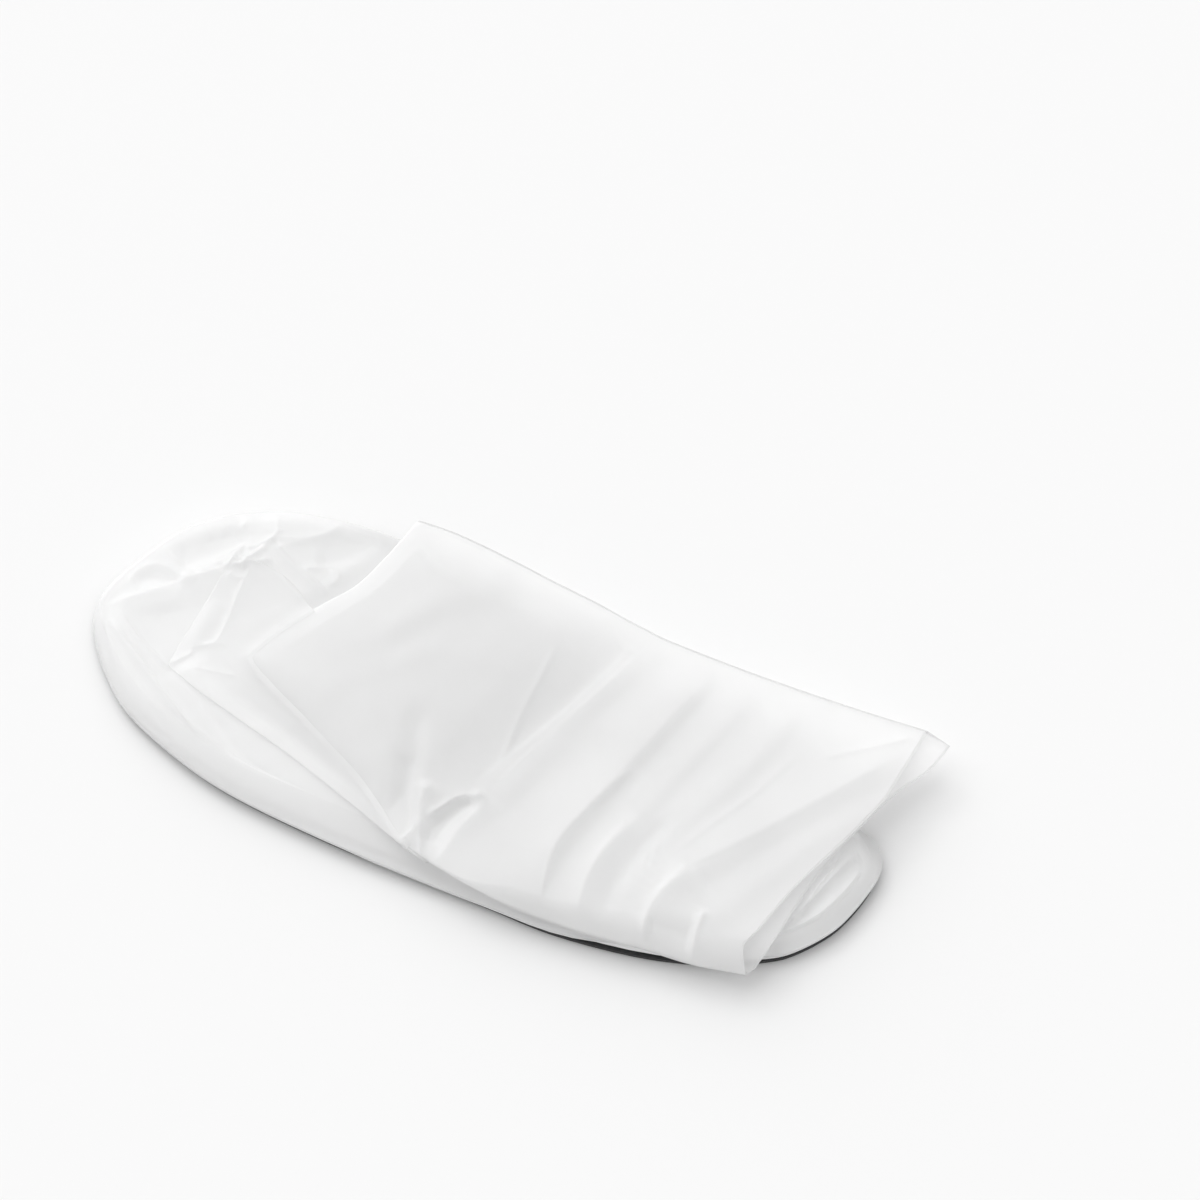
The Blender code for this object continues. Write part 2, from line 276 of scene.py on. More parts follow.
def apply_modifiers(thing):
    """Turn what the modifiers make into a plain mesh."""
    graph = bpy.context.evaluated_depsgraph_get()
    made = bpy.data.meshes.new_from_object(thing.evaluated_get(graph))
    thing.modifiers.clear()
    thing.data = made


def film_wall(thing, thickness, shares=None):
    """Give an open skin its wall, then make it a plain mesh with its faces outwards.

    With shares, one per point, the wall is thinner where the share is below 1.
    """
    wall = thing.modifiers.new("wall", "SOLIDIFY")
    wall.thickness = thickness
    if shares is not None:
        group = thing.vertex_groups.new(name="wall_share")
        for share in sorted(set(shares)):
            group.add([k for k, held in enumerate(shares) if held == share], share, "REPLACE")
        wall.vertex_group = group.name
    wall.offset = 0.0
    wall.use_rim = True
    apply_modifiers(thing)


def close_ends(thing):
    """Cap the first and last ring, and turn all faces outwards."""
    work = bmesh.new()
    work.from_mesh(thing.data)
    open_edges = [edge for edge in work.edges if edge.is_boundary]
    bmesh.ops.holes_fill(work, edges=open_edges, sides=0)
    bmesh.ops.recalc_face_normals(work, faces=work.faces[:])
    work.to_mesh(thing.data)
    work.free()


print("helpers ready")

# %% [markdown]
# The sole is matt black rubber with a faint sheen. Its fine grain is a bump from noise, and the colour
# wanders a little, as moulded rubber does. The footbed is smooth white sheet.

# %% Rubber and footbed materials


def node(tree, kind, **inputs):
    made = tree.nodes.new(kind)
    for key, value in inputs.items():
        made.inputs[key.replace("_", " ")].default_value = value
    return made


def wire(tree, source, output, target, socket):
    """Link one node's output to another node's input, each by its name or number."""
    tree.links.new(source.outputs[output], target.inputs[socket])


def grained_material(name, colour, roughness, tones, cloud, grain, grain_strength):
    """A material whose colour wanders between two tones under a fine bump; returns its cloud too.

    Cloud and grain are noises, each given as scale and detail.
    """
    made = plain_material(name, colour, roughness)
    tree = made.node_tree
    shader = tree.nodes["Principled BSDF"]
    place = tree.nodes.new("ShaderNodeTexCoord")
    fine = node(tree, "ShaderNodeTexNoise", Scale=grain[0], Detail=grain[1])
    broad = node(tree, "ShaderNodeTexNoise", Scale=cloud[0], Detail=cloud[1])
    wire(tree, place, "Object", fine, "Vector")
    wire(tree, place, "Object", broad, "Vector")
    tone = tree.nodes.new("ShaderNodeValToRGB")
    for stop, shade in zip(tone.color_ramp.elements, tones):
        stop.color = (*shade, 1.0)
    wire(tree, broad, "Fac", tone, "Fac")
    wire(tree, tone, "Color", shader, "Base Color")
    bump = node(tree, "ShaderNodeBump", Strength=grain_strength, Distance=0.0001)
    wire(tree, fine, "Fac", bump, "Height")
    wire(tree, bump, "Normal", shader, "Normal")
    return made, broad


def rubber_material():
    made, cloud = grained_material("sole_rubber_grain", (0.018, 0.018, 0.020), 0.5,
                                   ((0.012, 0.012, 0.013), (0.028, 0.028, 0.030)),
                                   (60.0, 4.0), (2600.0, 3.0), 0.25)
    tree = made.node_tree
    shader = tree.nodes["Principled BSDF"]
    shader.inputs["Specular IOR Level"].default_value = 0.25
    gloss = node(tree, "ShaderNodeMapRange", To_Min=0.40, To_Max=0.62)
    wire(tree, cloud, "Fac", gloss, "Value")
    wire(tree, gloss, "Result", shader, "Roughness")
    return made


def footbed_material():
    return grained_material("footbed_sheet", (0.87, 0.87, 0.87), 0.55, ((0.84,) * 3, (0.90,) * 3),
                            (18.0, 3.0), (900.0, 2.0), 0.2)[0]


rubber = rubber_material()
footbed_white = footbed_material()
print("rubber and footbed materials made")

# %% [markdown]
# Frosted film scatters most of the light that goes through it. A Principled shader with some alpha
# gives the surface its sheen and lets the layers below show, and a Translucent shader lets light
# from below glow through. A soft bump from noise stands for the film's own unevenness.

# %% Film material
FILM_ALPHA = 0.42
FILM_GLOW = 0.40


def film_material(name, colour, alpha, glow, roughness):
    made = plain_material(name, colour, roughness)
    tree = made.node_tree
    shader = tree.nodes["Principled BSDF"]
    shader.inputs["Alpha"].default_value = alpha
    shader.inputs["IOR"].default_value = 1.5
    place = tree.nodes.new("ShaderNodeTexCoord")
    wave = node(tree, "ShaderNodeTexNoise", Scale=55.0, Detail=2.0, Roughness=0.45)
    wire(tree, place, "Object", wave, "Vector")
    bump = node(tree, "ShaderNodeBump", Strength=0.35, Distance=0.0006)
    wire(tree, wave, "Fac", bump, "Height")
    wire(tree, bump, "Normal", shader, "Normal")
    through = node(tree, "ShaderNodeBsdfTranslucent")
    through.inputs["Color"].default_value = (*colour, 1.0)
    blend = tree.nodes.new("ShaderNodeMixShader")
    blend.inputs["Fac"].default_value = glow
    wire(tree, shader, "BSDF", blend, 1)
    wire(tree, through, "BSDF", blend, 2)
    wire(tree, blend, "Shader", tree.nodes["Material Output"], "Surface")
    return made


film = film_material("film_frosted_sheet", (0.98, 0.98, 0.98), FILM_ALPHA, FILM_GLOW, 0.26)
film_weld = film_material("film_weld_line", (0.88, 0.88, 0.88), 0.88, 0.15, 0.40)
print("film material made")

# %% [markdown]
# The outline of the sole carries every other piece, so it comes first: points along the outer side from
# toe to heel and back, a smooth closed curve through them, and rings set inwards. Many of the points are
# rounded from edges that a separate script traced in the photo.

# %% Outline of the sole
OUTLINE = (
    (-150.5, 4), (-149, -4), (-145, -10.5), (-137.5, -19.6), (-124, -31), (-100, -41.5),
    (-77, -47.8), (-43, -52.4), (-11, -55), (20, -57), (45, -58.6), (75, -56.5), (100, -51),
    (114, -45), (123, -39.6), (133, -29), (138.5, -19), (142, -8), (141.5, -1), (137, 5),
    (128, 12), (112, 18.5), (90, 22), (72, 24.5), (45, 31.5), (15, 43), (-15, 54),
    (-45, 60.5), (-60, 61.5), (-75, 60.5), (-90, 58), (-105, 54), (-120, 47), (-135, 34.5),
    (-145, 20), (-149.5, 11),
)
outline_curve = curve_through(OUTLINE, True)
SOLE_POINTS = 360


def ring_normals(ring):
    """Unit normals of an anticlockwise closed ring, to its inside."""
    step = np.roll(ring, -1, axis=0) - np.roll(ring, 1, axis=0)
    step = step / np.hypot(*step.T)[:, None]
    return np.stack([-step[:, 1], step[:, 0]], 1)


sole_ring = along(outline_curve, np.arange(SOLE_POINTS) / SOLE_POINTS, True)
sole_in = ring_normals(sole_ring)
print("outline box", sole_ring.min(0), sole_ring.max(0), "middle", (sole_ring.min(0) + sole_ring.max(0)) / 2)

# %% [markdown]
# The sole plate is one closed loft: a rounded side, a flat rim below with a step and a fine groove,
# and a bead that frames the sunk tread field. Rings set inwards from the outline make all of it.

# %% Sole plate
SOLE_RIM = 6.3
BEAD = 1.5


def inset_ring(inset, z):
    return np.c_[sole_ring + sole_in * inset, np.full(len(sole_ring), z)]


plate_rows = [inset_ring(inset, z) for inset, z in (
    (1.4, SOLE_TOP), (0.5, SOLE_TOP), (0.12, SOLE_TOP - 0.15), (0.0, SOLE_TOP - 0.5),
    (0.0, 1.75), (0.22, 1.62), (0.22, 1.48), (0.0, 1.35), (0.0, 0.85), (0.15, 0.6), (0.6, 0.5),
    (2.6, 0.5), (2.75, 0.72), (3.05, 0.72), (3.2, 0.5), (SOLE_RIM - 1.0, 0.5), (SOLE_RIM - 0.8, 1.0),
    (SOLE_RIM, 1.0), (SOLE_RIM + 0.12, 0.18), (SOLE_RIM + 0.4, 0.0), (SOLE_RIM + BEAD - 0.4, 0.0),
    (SOLE_RIM + BEAD - 0.12, 0.18), (SOLE_RIM + BEAD, TREAD_DEPTH), (SOLE_RIM + BEAD + 1.0, TREAD_DEPTH))]
sole_plate = skin("sole_plate", plate_rows)
close_ends(sole_plate)
sole_plate.data.materials.append(rubber)
sole_plate.data.polygons.foreach_set("use_smooth", [False] * len(sole_plate.data.polygons))
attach(sole_plate, "root")
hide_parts("outsole")
print("sole plate", len(sole_plate.data.polygons), "faces")

# %% [markdown]
# The tread is a herringbone: bars in slanted columns, those of one at a right angle to the next one's.
# Python lays out one line per bar and cuts it at the bead and at the placard; Geometry Nodes turn each
# line into a low bar with a row of slanted teeth, which gives the rope-like look of the real ribs.

# %% Tread lines
COLUMN_TURN = math.radians(-22.0)
COLUMN_WIDTH = 17.5
BAR_PITCH = 7.6
BAR_END_GAP = 0.3
BAR_STEPS = 81
BAR_SHORTEST = 7
COLUMN_REACH = 6
BAR_REACH = 30
BEAD_CLEAR = 0.8
PLACARD_CLEAR = 1.3
PLACARD_PLACE = np.array([2.0, -4.0])
PLACARD_SIZE = (32.0, 20.0)

axis_along = np.array([math.cos(COLUMN_TURN), math.sin(COLUMN_TURN)])
axis_across = np.array([-axis_along[1], axis_along[0]])
field_edge = sole_ring + sole_in * (SOLE_RIM + BEAD + BEAD_CLEAR)


def inside_field(points):
    """True for points inside the tread field and clear of the placard."""
    x0, y0 = field_edge[:, 0], field_edge[:, 1]
    x1, y1 = np.roll(x0, -1), np.roll(y0, -1)
    px, py = points[:, :1], points[:, 1:2]
    crosses = (y0 > py) != (y1 > py)
    slope = (x1 - x0) * (py - y0) / (y1 - y0 + 1e-12) + x0
    within = (np.sum(crosses & (px < slope), axis=1) % 2) == 1
    rel = points - PLACARD_PLACE
    clear = ((np.abs(rel @ axis_along) > PLACARD_SIZE[0] / 2 + PLACARD_CLEAR)
             | (np.abs(rel @ axis_across) > PLACARD_SIZE[1] / 2 + PLACARD_CLEAR))
    return within & clear


tread_points, tread_edges = [], []
half_bar = COLUMN_WIDTH / 2 - BAR_END_GAP
for column in range(-COLUMN_REACH, COLUMN_REACH + 1):
    lean = 1 if column % 2 else -1
    bar = (axis_across + lean * axis_along) * half_bar
    for k in range(-BAR_REACH, BAR_REACH + 1):
        middle = PLACARD_PLACE + axis_across * column * COLUMN_WIDTH + axis_along * k * BAR_PITCH
        trial = np.linspace(-1, 1, BAR_STEPS)[:, None] * bar + middle
        good = inside_field(trial)
        edges = np.flatnonzero(np.diff(np.r_[0, good.astype(int), 0]))
        for start, stop in zip(edges[::2], edges[1::2]):
            if stop - start > BAR_SHORTEST:
                tread_edges.append((len(tread_points), len(tread_points) + 1))
                tread_points += [trial[start], trial[stop - 1]]
print(len(tread_edges), "tread bars")

# %% Tread bars and teeth
TOOTH_PITCH = 1.3
TOOTH_HEIGHT = 1.15
BAR_WIDTH = 3.4
BAR_HEIGHT = 0.7


def geometry_tree(name, sizes):
    """A node group with a geometry input and output and named size inputs."""
    tree = bpy.data.node_groups.new(name, "GeometryNodeTree")
    tree.interface.new_socket("Geometry", in_out="INPUT", socket_type="NodeSocketGeometry")
    for label, value in sizes.items():
        kind = "NodeSocketMaterial" if value is None else "NodeSocketFloat"
        made = tree.interface.new_socket(label, in_out="INPUT", socket_type=kind)
        if value is not None:
            made.default_value = value
    tree.interface.new_socket("Geometry", in_out="OUTPUT", socket_type="NodeSocketGeometry")
    return tree, tree.nodes.new("NodeGroupInput"), tree.nodes.new("NodeGroupOutput")


def run_tree(thing, tree, values):
    """Set the named inputs by their sockets' identifiers, evaluate and keep a plain mesh."""
    modifier = thing.modifiers.new(tree.name, "NODES")
    modifier.node_group = tree
    for item in tree.interface.items_tree:
        if item.item_type == "SOCKET" and item.in_out == "INPUT" and item.name in values:
            modifier[item.identifier] = values[item.name]
    bpy.context.view_layer.update()
    apply_modifiers(thing)


tread_mesh = bpy.data.meshes.new("tread_bars")
flat_points = np.array(tread_points)
tread_line = to_frame(np.c_[flat_points, np.full(len(flat_points), TREAD_DEPTH + 0.2)])
tread_mesh.from_pydata(tread_line.tolist(), tread_edges, [])
tread = link_object("tread_bars", tread_mesh)
tree, given, out = geometry_tree("tread_tree", {
    "Tooth pitch": TOOTH_PITCH * MM, "Bar width": BAR_WIDTH * MM, "Bar height": BAR_HEIGHT * MM,
    "Tooth height": TOOTH_HEIGHT * MM, "Rubber": None})
lines = tree.nodes.new("GeometryNodeMeshToCurve")
wire(tree, given, "Geometry", lines, "Mesh")
profile = tree.nodes.new("GeometryNodeCurvePrimitiveQuadrilateral")
wire(tree, given, "Bar width", profile, "Width")
wire(tree, given, "Bar height", profile, "Height")
sweep = tree.nodes.new("GeometryNodeCurveToMesh")
sweep.inputs["Fill Caps"].default_value = True
wire(tree, lines, "Curve", sweep, "Curve")
wire(tree, profile, "Curve", sweep, "Profile Curve")
points = tree.nodes.new("GeometryNodeCurveToPoints")
points.mode = "LENGTH"
wire(tree, lines, "Curve", points, "Curve")
wire(tree, given, "Tooth pitch", points, "Length")
tooth = tree.nodes.new("GeometryNodeMeshCone")
tooth.inputs["Vertices"].default_value = 4
tooth.inputs["Radius Top"].default_value = 0.34
tooth.inputs["Radius Bottom"].default_value = 0.66
tooth.inputs["Depth"].default_value = 1.0
square = tree.nodes.new("GeometryNodeTransform")
square.inputs["Rotation"].default_value = (math.pi, 0.0, math.pi / 4)
wire(tree, tooth, "Mesh", square, "Geometry")
slant = tree.nodes.new("GeometryNodeTransform")
slant.inputs["Rotation"].default_value = (0.0, 0.0, math.radians(24.0))
size = tree.nodes.new("ShaderNodeCombineXYZ")
wire(tree, given, "Tooth pitch", size, "X")
wire(tree, given, "Bar width", size, "Y")
wire(tree, given, "Tooth height", size, "Z")
wire(tree, size, "Vector", slant, "Scale")
wire(tree, square, "Geometry", slant, "Geometry")
turn = tree.nodes.new("FunctionNodeAlignRotationToVector")
turn.axis = "X"
turn.pivot_axis = "Z"
wire(tree, points, "Tangent", turn, "Vector")
teeth = tree.nodes.new("GeometryNodeInstanceOnPoints")
wire(tree, points, "Points", teeth, "Points")
wire(tree, slant, "Geometry", teeth, "Instance")
wire(tree, turn, "Rotation", teeth, "Rotation")
both = tree.nodes.new("GeometryNodeJoinGeometry")
wire(tree, sweep, "Mesh", both, "Geometry")
wire(tree, teeth, "Instances", both, "Geometry")
real = tree.nodes.new("GeometryNodeRealizeInstances")
wire(tree, both, "Geometry", real, "Geometry")
paint = tree.nodes.new("GeometryNodeSetMaterial")
wire(tree, real, "Geometry", paint, "Geometry")
wire(tree, given, "Rubber", paint, "Material")
wire(tree, paint, "Geometry", out, "Geometry")
run_tree(tread, tree, {"Rubber": rubber})
tread_z = np.array([v.co.z for v in tread.data.vertices])
print("tread", len(tread.data.polygons), "faces, z", tread_z.min() * 1000, tread_z.max() * 1000)
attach(tread, "root")
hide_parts("outsole")

# %% [markdown]
# The placard is a small raised plate with rounded corners, a double border and a bare panel.

# %% Placard
PLACARD_CORNER = 4.0


def rounded_rectangle(length, width, corner, steps=6):
    ring = []
    for quarter in range(4):
        cx = (length / 2 - corner) * (1 if quarter in (0, 3) else -1)
        cy = (width / 2 - corner) * (1 if quarter in (0, 1) else -1)
        for step in range(steps + 1):
            turn_here = (quarter + step / steps) * math.pi / 2
            ring.append((cx + corner * math.cos(turn_here), cy + corner * math.sin(turn_here)))
    return np.array(ring)


placard_rows = []
for inset, z in ((0.0, 1.3), (0.0, 0.25), (0.25, 0.0), (1.0, 0.0), (1.25, 0.25), (1.25, 0.55),
                 (1.7, 0.55), (1.7, 0.3), (1.95, 0.12), (2.4, 0.12), (2.65, 0.3), (2.65, 0.45)):
    ring = rounded_rectangle(PLACARD_SIZE[0] - 2 * inset, PLACARD_SIZE[1] - 2 * inset,
                             max(0.6, PLACARD_CORNER - inset))
    place = PLACARD_PLACE + ring[:, :1] * axis_along + ring[:, 1:] * axis_across
    placard_rows.append(np.c_[place, np.full(len(place), z)])
placard = skin("placard", placard_rows)
close_ends(placard)
placard.data.polygons.foreach_set("use_smooth", [False] * len(placard.data.polygons))
placard.data.materials.append(rubber)
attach(placard, "root")

# %% Footbed keeps its CAD shape
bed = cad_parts["footbed"]
bed.data.materials.clear()
bed.data.materials.append(footbed_white)
print("placard and footbed done")

# %% [markdown]
# The foot of film is welded to the rim of the sole. It rises as a low side wall, bulges a little over
# the edge at the toe, and is pressed flat on top, with a crumpled gather above the toes. Rings run
# from the weld, up the wall and in to the ankle opening, close together round the toe where the folds
# are fine. Each fold is a row of a table: how high it rises, how wide each flank is, where it runs.

# %% Foot film: side wall and base heights
FILM_THICKNESS = 0.28
ANKLE_MIDDLE = np.array([62.0, -13.0])
ANKLE_SIZE = np.array([88.0, 52.0])
FOOT_FLAT = 9.5
FLANGE_LEVEL = 4.6
RIM_TOP = 4.25

# x, rise and lean of the outer side, rise and lean of the inner side
WALL = np.array((
    (-150, 7.0, 3.6, 7.0, 3.6),
    (-130, 6.5, 7, 7.5, 0),
    (-95, 6.0, 9, 7.5, -1),
    (-50, 5.2, 11, 6, 1),
    (-10, 4.4, 12, 5, 3),
    (40, 3.0, 12, 4.4, 3),
    (100, 2.6, 11, 4.4, 3),
    (125, 2.0, 6, 4.2, 2.5),
    (142, 2.2, 5.0, 2.4, 5.0),
), float)

# x, how far the rim stands out from the side of the sole (less than 0: set in), level of its lower edge
RIM = np.array((
    (-150, 0.35, 1.7), (-118, 0.35, 1.9), (-88, 0.3, 2.9), (-35, 0.3, 3.1), (-22, 0.5, 2.6),
    (8, 0.5, 2.8), (22, 0.4, 3.45), (40, 0.1, 3.5), (50, -0.3, 3.5), (60, -1.4, 3.5), (70, -2.4, 3.5),
    (95, -2.2, 3.5), (115, -0.5, 3.5), (128, -0.3, 3.5), (138, -0.2, 3.5),
), float)
# Where the rim is pulled out at the heel: x and y, reach both ways, how far
HEEL_PULL_AT, HEEL_PULL_REACH, HEEL_PULL = (139, 5), (8, 9), 3.2
# The points of a ring stand closest where this weight is greatest: x, weight
POINT_WEIGHT = ((-95, -60, 0, 95, 120), (1.0, 0.65, 0.12, 0.15, 0.55))
FOOT_POINTS = 340

fine_share = np.linspace(0, 1, 2001)
fine_ring = along(outline_curve, fine_share, True)
weight = np.interp(fine_ring[:, 0], *POINT_WEIGHT)
weight_run = np.r_[0, np.cumsum((weight[1:] + weight[:-1]) / 2)]
foot_share = np.interp(np.arange(FOOT_POINTS) / FOOT_POINTS * weight_run[-1], weight_run, fine_share)
foot_ring = along(outline_curve, foot_share, True)
foot_in = np.stack([np.interp(foot_share, np.arange(SOLE_POINTS + 1) / SOLE_POINTS,
                              np.r_[sole_in[:, k], sole_in[:1, k]]) for k in (0, 1)], 1)
wall_middle = np.interp(foot_ring[:, 0], (-150, -60, 30, 142), (6, 7, -11, -8))
inner_side = ease(0.5 + (foot_ring[:, 1] - wall_middle) / 24)
wall_rise = (np.interp(foot_ring[:, 0], WALL[:, 0], WALL[:, 1]) * (1 - inner_side)
             + np.interp(foot_ring[:, 0], WALL[:, 0], WALL[:, 3]) * inner_side)
wall_lean = (np.interp(foot_ring[:, 0], WALL[:, 0], WALL[:, 2]) * (1 - inner_side)
             + np.interp(foot_ring[:, 0], WALL[:, 0], WALL[:, 4]) * inner_side)
rim_out = np.interp(foot_ring[:, 0], RIM[:, 0], RIM[:, 1])
rim_out += HEEL_PULL * np.exp(-np.sum(((foot_ring - HEEL_PULL_AT) / HEEL_PULL_REACH) ** 2, axis=1))
rim_low = np.interp(foot_ring[:, 0], RIM[:, 0], RIM[:, 2])
wall_in = np.maximum(0.2, 0.45 - rim_out)
print("foot ring", len(foot_ring), "points")

# %% Foot film: folds
# rise, half width on the left, on the right, then the points of the fold
FOOT_SWELLS = (
    (1.0, 4.0, 3.4, (-149, 5), (-144, -1), (-131, -9.5), (-107, -25), (-81, -41), (-60, -47)),
    (-0.8, 3.0, 3.0, (-140, -1), (-128, -8), (-103, -19.5), (-81, -35), (-60, -43), (-36, -48)),
    (1.0, 11.0, 7.0, (-124, 18), (-108, 30), (-97, 40), (-86, 46)),
    (0.5, 5.0, 9.0, (-146, 4), (-132, 10), (-116, 20)),
    (-1.2, 9.0, 9.0, (-128, 10), (-120, -2), (-108, -12)),
    (1.4, 14.0, 8.0, (-99, 62), (-96, 52), (-93, 44)),
    (-1.6, 4.0, 7.0, (-63, 60), (-68, 52), (-75, 46), (-82, 42)),
    (-1.7, 7.0, 3.2, (-129, 24), (-120, 31), (-112, 38.5), (-107, 44)),
    (-1.0, 3.0, 3.0, (-140, 12), (-135.5, 16.5), (-130, 18), (-122, 17.5)),
    (-0.8, 3.0, 3.0, (128, -2), (123, -12), (119, -24), (115, -36)),
)
FOOT_CREASES = (
    (1.0, 0.9, 1.7, (-150, 2), (-148.5, 0), (-138, -5.7), (-127.3, -12.3), (-112.4, -22.8), (-90, -37),
     (-72, -45)),
    (0.7, 0.8, 1.3, (-141, 2), (-133, -3.4), (-125.7, -8), (-113, -13.5)),
    (1.3, 0.8, 3.4, (-148, -1), (-143.1, 3.3), (-133.4, 11.3), (-122.9, 19.7), (-112.3, 28.1), (-108, 32)),
    (1.2, 1.1, 2.2, (-142, 9), (-141.4, 13.5), (-140.6, 17.9), (-136.9, 21.6), (-131.2, 22.6),
     (-123.4, 21), (-118, 22)),
    (0.9, 1.3, 1.8, (-147, 34), (-143.6, 32.2), (-136.5, 28.9), (-129, 25.7), (-122.4, 22.7), (-117, 22)),
    (0.7, 1.2, 1.8, (-144, 33), (-139.9, 34.5), (-137.7, 37.7), (-132, 42)),
    (0.9, 1.0, 1.4, (-121, 24), (-116, 28), (-111, 34.5), (-108, 38)),
    (1.5, 1.0, 1.0, (-111, 28), (-109.5, 32), (-108.6, 37), (-108, 41)),
    (1.6, 0.9, 1.3, (-111, 36), (-107, 34), (-102.5, 36.7), (-98.7, 44.7), (-97, 50)),
    (1.3, 0.8, 1.0, (-110, 30.5), (-106, 31.5), (-103, 34), (-99, 35.5), (-96, 38)),
    (1.0, 0.8, 0.8, (-107, 39), (-103.5, 40.5), (-100, 43.5), (-97, 44)),
    (0.9, 0.7, 0.7, (-105, 30), (-104.5, 34), (-102, 38), (-101, 42)),
    (1.1, 1.0, 2.6, (-101, 45), (-97.6, 43.7), (-87.6, 38.5), (-74, 32.7), (-64, 29)),
    (1.0, 1.0, 2.4, (-104, 40), (-100.5, 37.9), (-89.4, 32.1), (-79.5, 27), (-70, 23)),
    (1.3, 2.2, 3.0, (-99, 40), (-92.1, 45.1), (-82, 52.9), (-76, 60)),
    (0.9, 1.4, 1.6, (-86, 38), (-80, 40), (-75, 42), (-71.4, 39.1), (-74.5, 33)),
    (0.9, 1.8, 1.2, (-113.5, 59), (-112.5, 52), (-110.5, 48.5), (-112.2, 44.1)),
    (0.9, 1.4, 1.8, (-103, 60), (-101.8, 55.4), (-99.3, 51.4), (-98, 46)),
    (0.5, 1.2, 1.2, (-153, 16), (-147, 18), (-142, 19)),
    (0.5, 1.2, 1.2, (-153, 23), (-146, 24), (-141, 24)),
    (0.5, 1.2, 1.6, (-129, 50), (-124, 43), (-120, 37)),
    (0.5, 1.2, 1.6, (-122, 53), (-118, 47), (-116, 40)),
    (2.2, 0.7, 2.8, (140.5, -3), (133.8, -14.2), (127.8, -24.7), (121.6, -36), (117, -44)),
    (-0.9, 1.6, 0.8, (139.5, -7), (135.2, -15.2), (129.4, -25.6), (123.2, -36.4), (119, -44)),
    (1.3, 0.8, 1.8, (136, 3), (130, -7), (125, -18), (120.5, -28), (116, -38)),
    (0.8, 0.7, 0.9, (130, 0), (128.4, -4), (126.2, -11), (123.4, -20), (122, -30)),
    (0.7, 0.9, 0.9, (127, -0.4), (134, -1), (142, 0.4)),
    (0.6, 0.8, 1.0, (130, 14.5), (134.5, 10), (138.6, 5.2), (143, 1.6)),
    (0.6, 0.7, 1.2, (143.5, -3), (139, -14), (134, -23), (127, -32), (119, -41)),
    (0.7, 0.8, 0.9, (129, 10.5), (132.3, 7.2), (134.8, 3.5), (137.6, 1.4), (143, 1.3)),
)

# Edge of the folded shaft that lies on the foot: x, y
FOLD_LINE = (
    (-4, -51.5), (-16, -47.2), (-26.6, -39), (-38, -30.8), (-52, -23.1), (-65.4, -15.8), (-79, -8.7),
    (-89.6, -1.6), (-88, 5), (-82, 15.6), (-72.7, 27.4), (-64.2, 38), (-58.1, 52.1), (-52.4, 69.5),
)
fold_curve = curve_through(FOLD_LINE)
bearing = np.arctan2((foot_ring[:, 1] - ANKLE_MIDDLE[1]) / ANKLE_SIZE[1],
                     (foot_ring[:, 0] - ANKLE_MIDDLE[0]) / ANKLE_SIZE[0])
ankle_ring = ANKLE_MIDDLE + ANKLE_SIZE / 2 * np.stack([np.cos(bearing), np.sin(bearing)], 1)
wall_top = foot_ring + foot_in * (wall_in - 0.2 + wall_lean)[:, None]


def foot_row(flat, level, share):
    """One ring of the foot: base level, folds, and pressed flat where the shaft lies on it."""
    edge = np.interp(flat[:, 1], fold_curve[:, 1], fold_curve[:, 0])
    free = ease((edge - 1.0 - flat[:, 0]) / 9.0) + ease((flat[:, 0] - 106) / 8.0)
    lift = (relief(flat, FOOT_SWELLS) + relief(flat, FOOT_CREASES, True)) * ease(share * 18 + 0.12)
    lift += ripple(flat, 5, 0.10, 16.0) * ease(share * 4)
    z = level + lift
    over = np.maximum(0.0, z - FOOT_FLAT)
    return np.c_[flat, np.maximum(z - over * (1 - np.clip(free, 0, 1)), FLANGE_LEVEL)]


foot_rows = [np.c_[foot_ring - foot_in * (rim_out + cut)[:, None], np.full(FOOT_POINTS, FLANGE_LEVEL) + rise]
             for cut, rise in ((0.0, 0.05), (-0.12, 0.3))]
for lean_share, rise_share in ((0.0, 0.05), (0.11, 0.16), (0.25, 0.32), (0.40, 0.49), (0.55, 0.66),
                               (0.70, 0.81), (0.85, 0.93)):
    bulge = 0.7 * math.sin(math.pi * rise_share)
    set_in = wall_in + wall_lean * lean_share - bulge * ease((-20 - foot_ring[:, 0]) / 60)
    flat = foot_ring + foot_in * set_in[:, None]
    foot_rows.append(foot_row(flat, FLANGE_LEVEL + wall_rise * rise_share, 0.0))
for share in np.r_[np.linspace(0, 0.46, 106, endpoint=False), np.linspace(0.46, 1, 15)]:
    flat = wall_top + (ankle_ring - wall_top) * share
    level = FLANGE_LEVEL + wall_rise + (FOOT_FLAT - FLANGE_LEVEL - wall_rise) * ease(share * 2.2)
    foot_rows.append(foot_row(flat, level, share))
foot_film = skin("foot_film", foot_rows)
film_wall(foot_film, FILM_THICKNESS * MM)
foot_film.data.materials.append(film)
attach(foot_film, "root")
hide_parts("foot_upper")
print("foot film", len(foot_film.data.polygons), "faces")

# %% Weld rim between the sole and the foot film
RIM_THICKNESS = 0.24
# How far in from the rim's edge, share of the height from its lower edge to its top
RIM_PROFILE = ((4.5, 1.0), (1.25, 1.0), (0.35, 1.0), (0.08, 0.88), (0.0, 0.6), (0.07, 0.0))
rim_rows = [np.c_[foot_ring - foot_in * (rim_out - cut)[:, None],
                  rim_low + (RIM_TOP - rim_low) * level_share] for cut, level_share in RIM_PROFILE]
rim_weld = skin("rim_weld", rim_rows, flip=True)
film_wall(rim_weld, RIM_THICKNESS * MM)
rim_weld.data.materials.append(film_weld)
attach(rim_weld, "root")
print("weld rim", len(rim_weld.data.polygons), "faces")

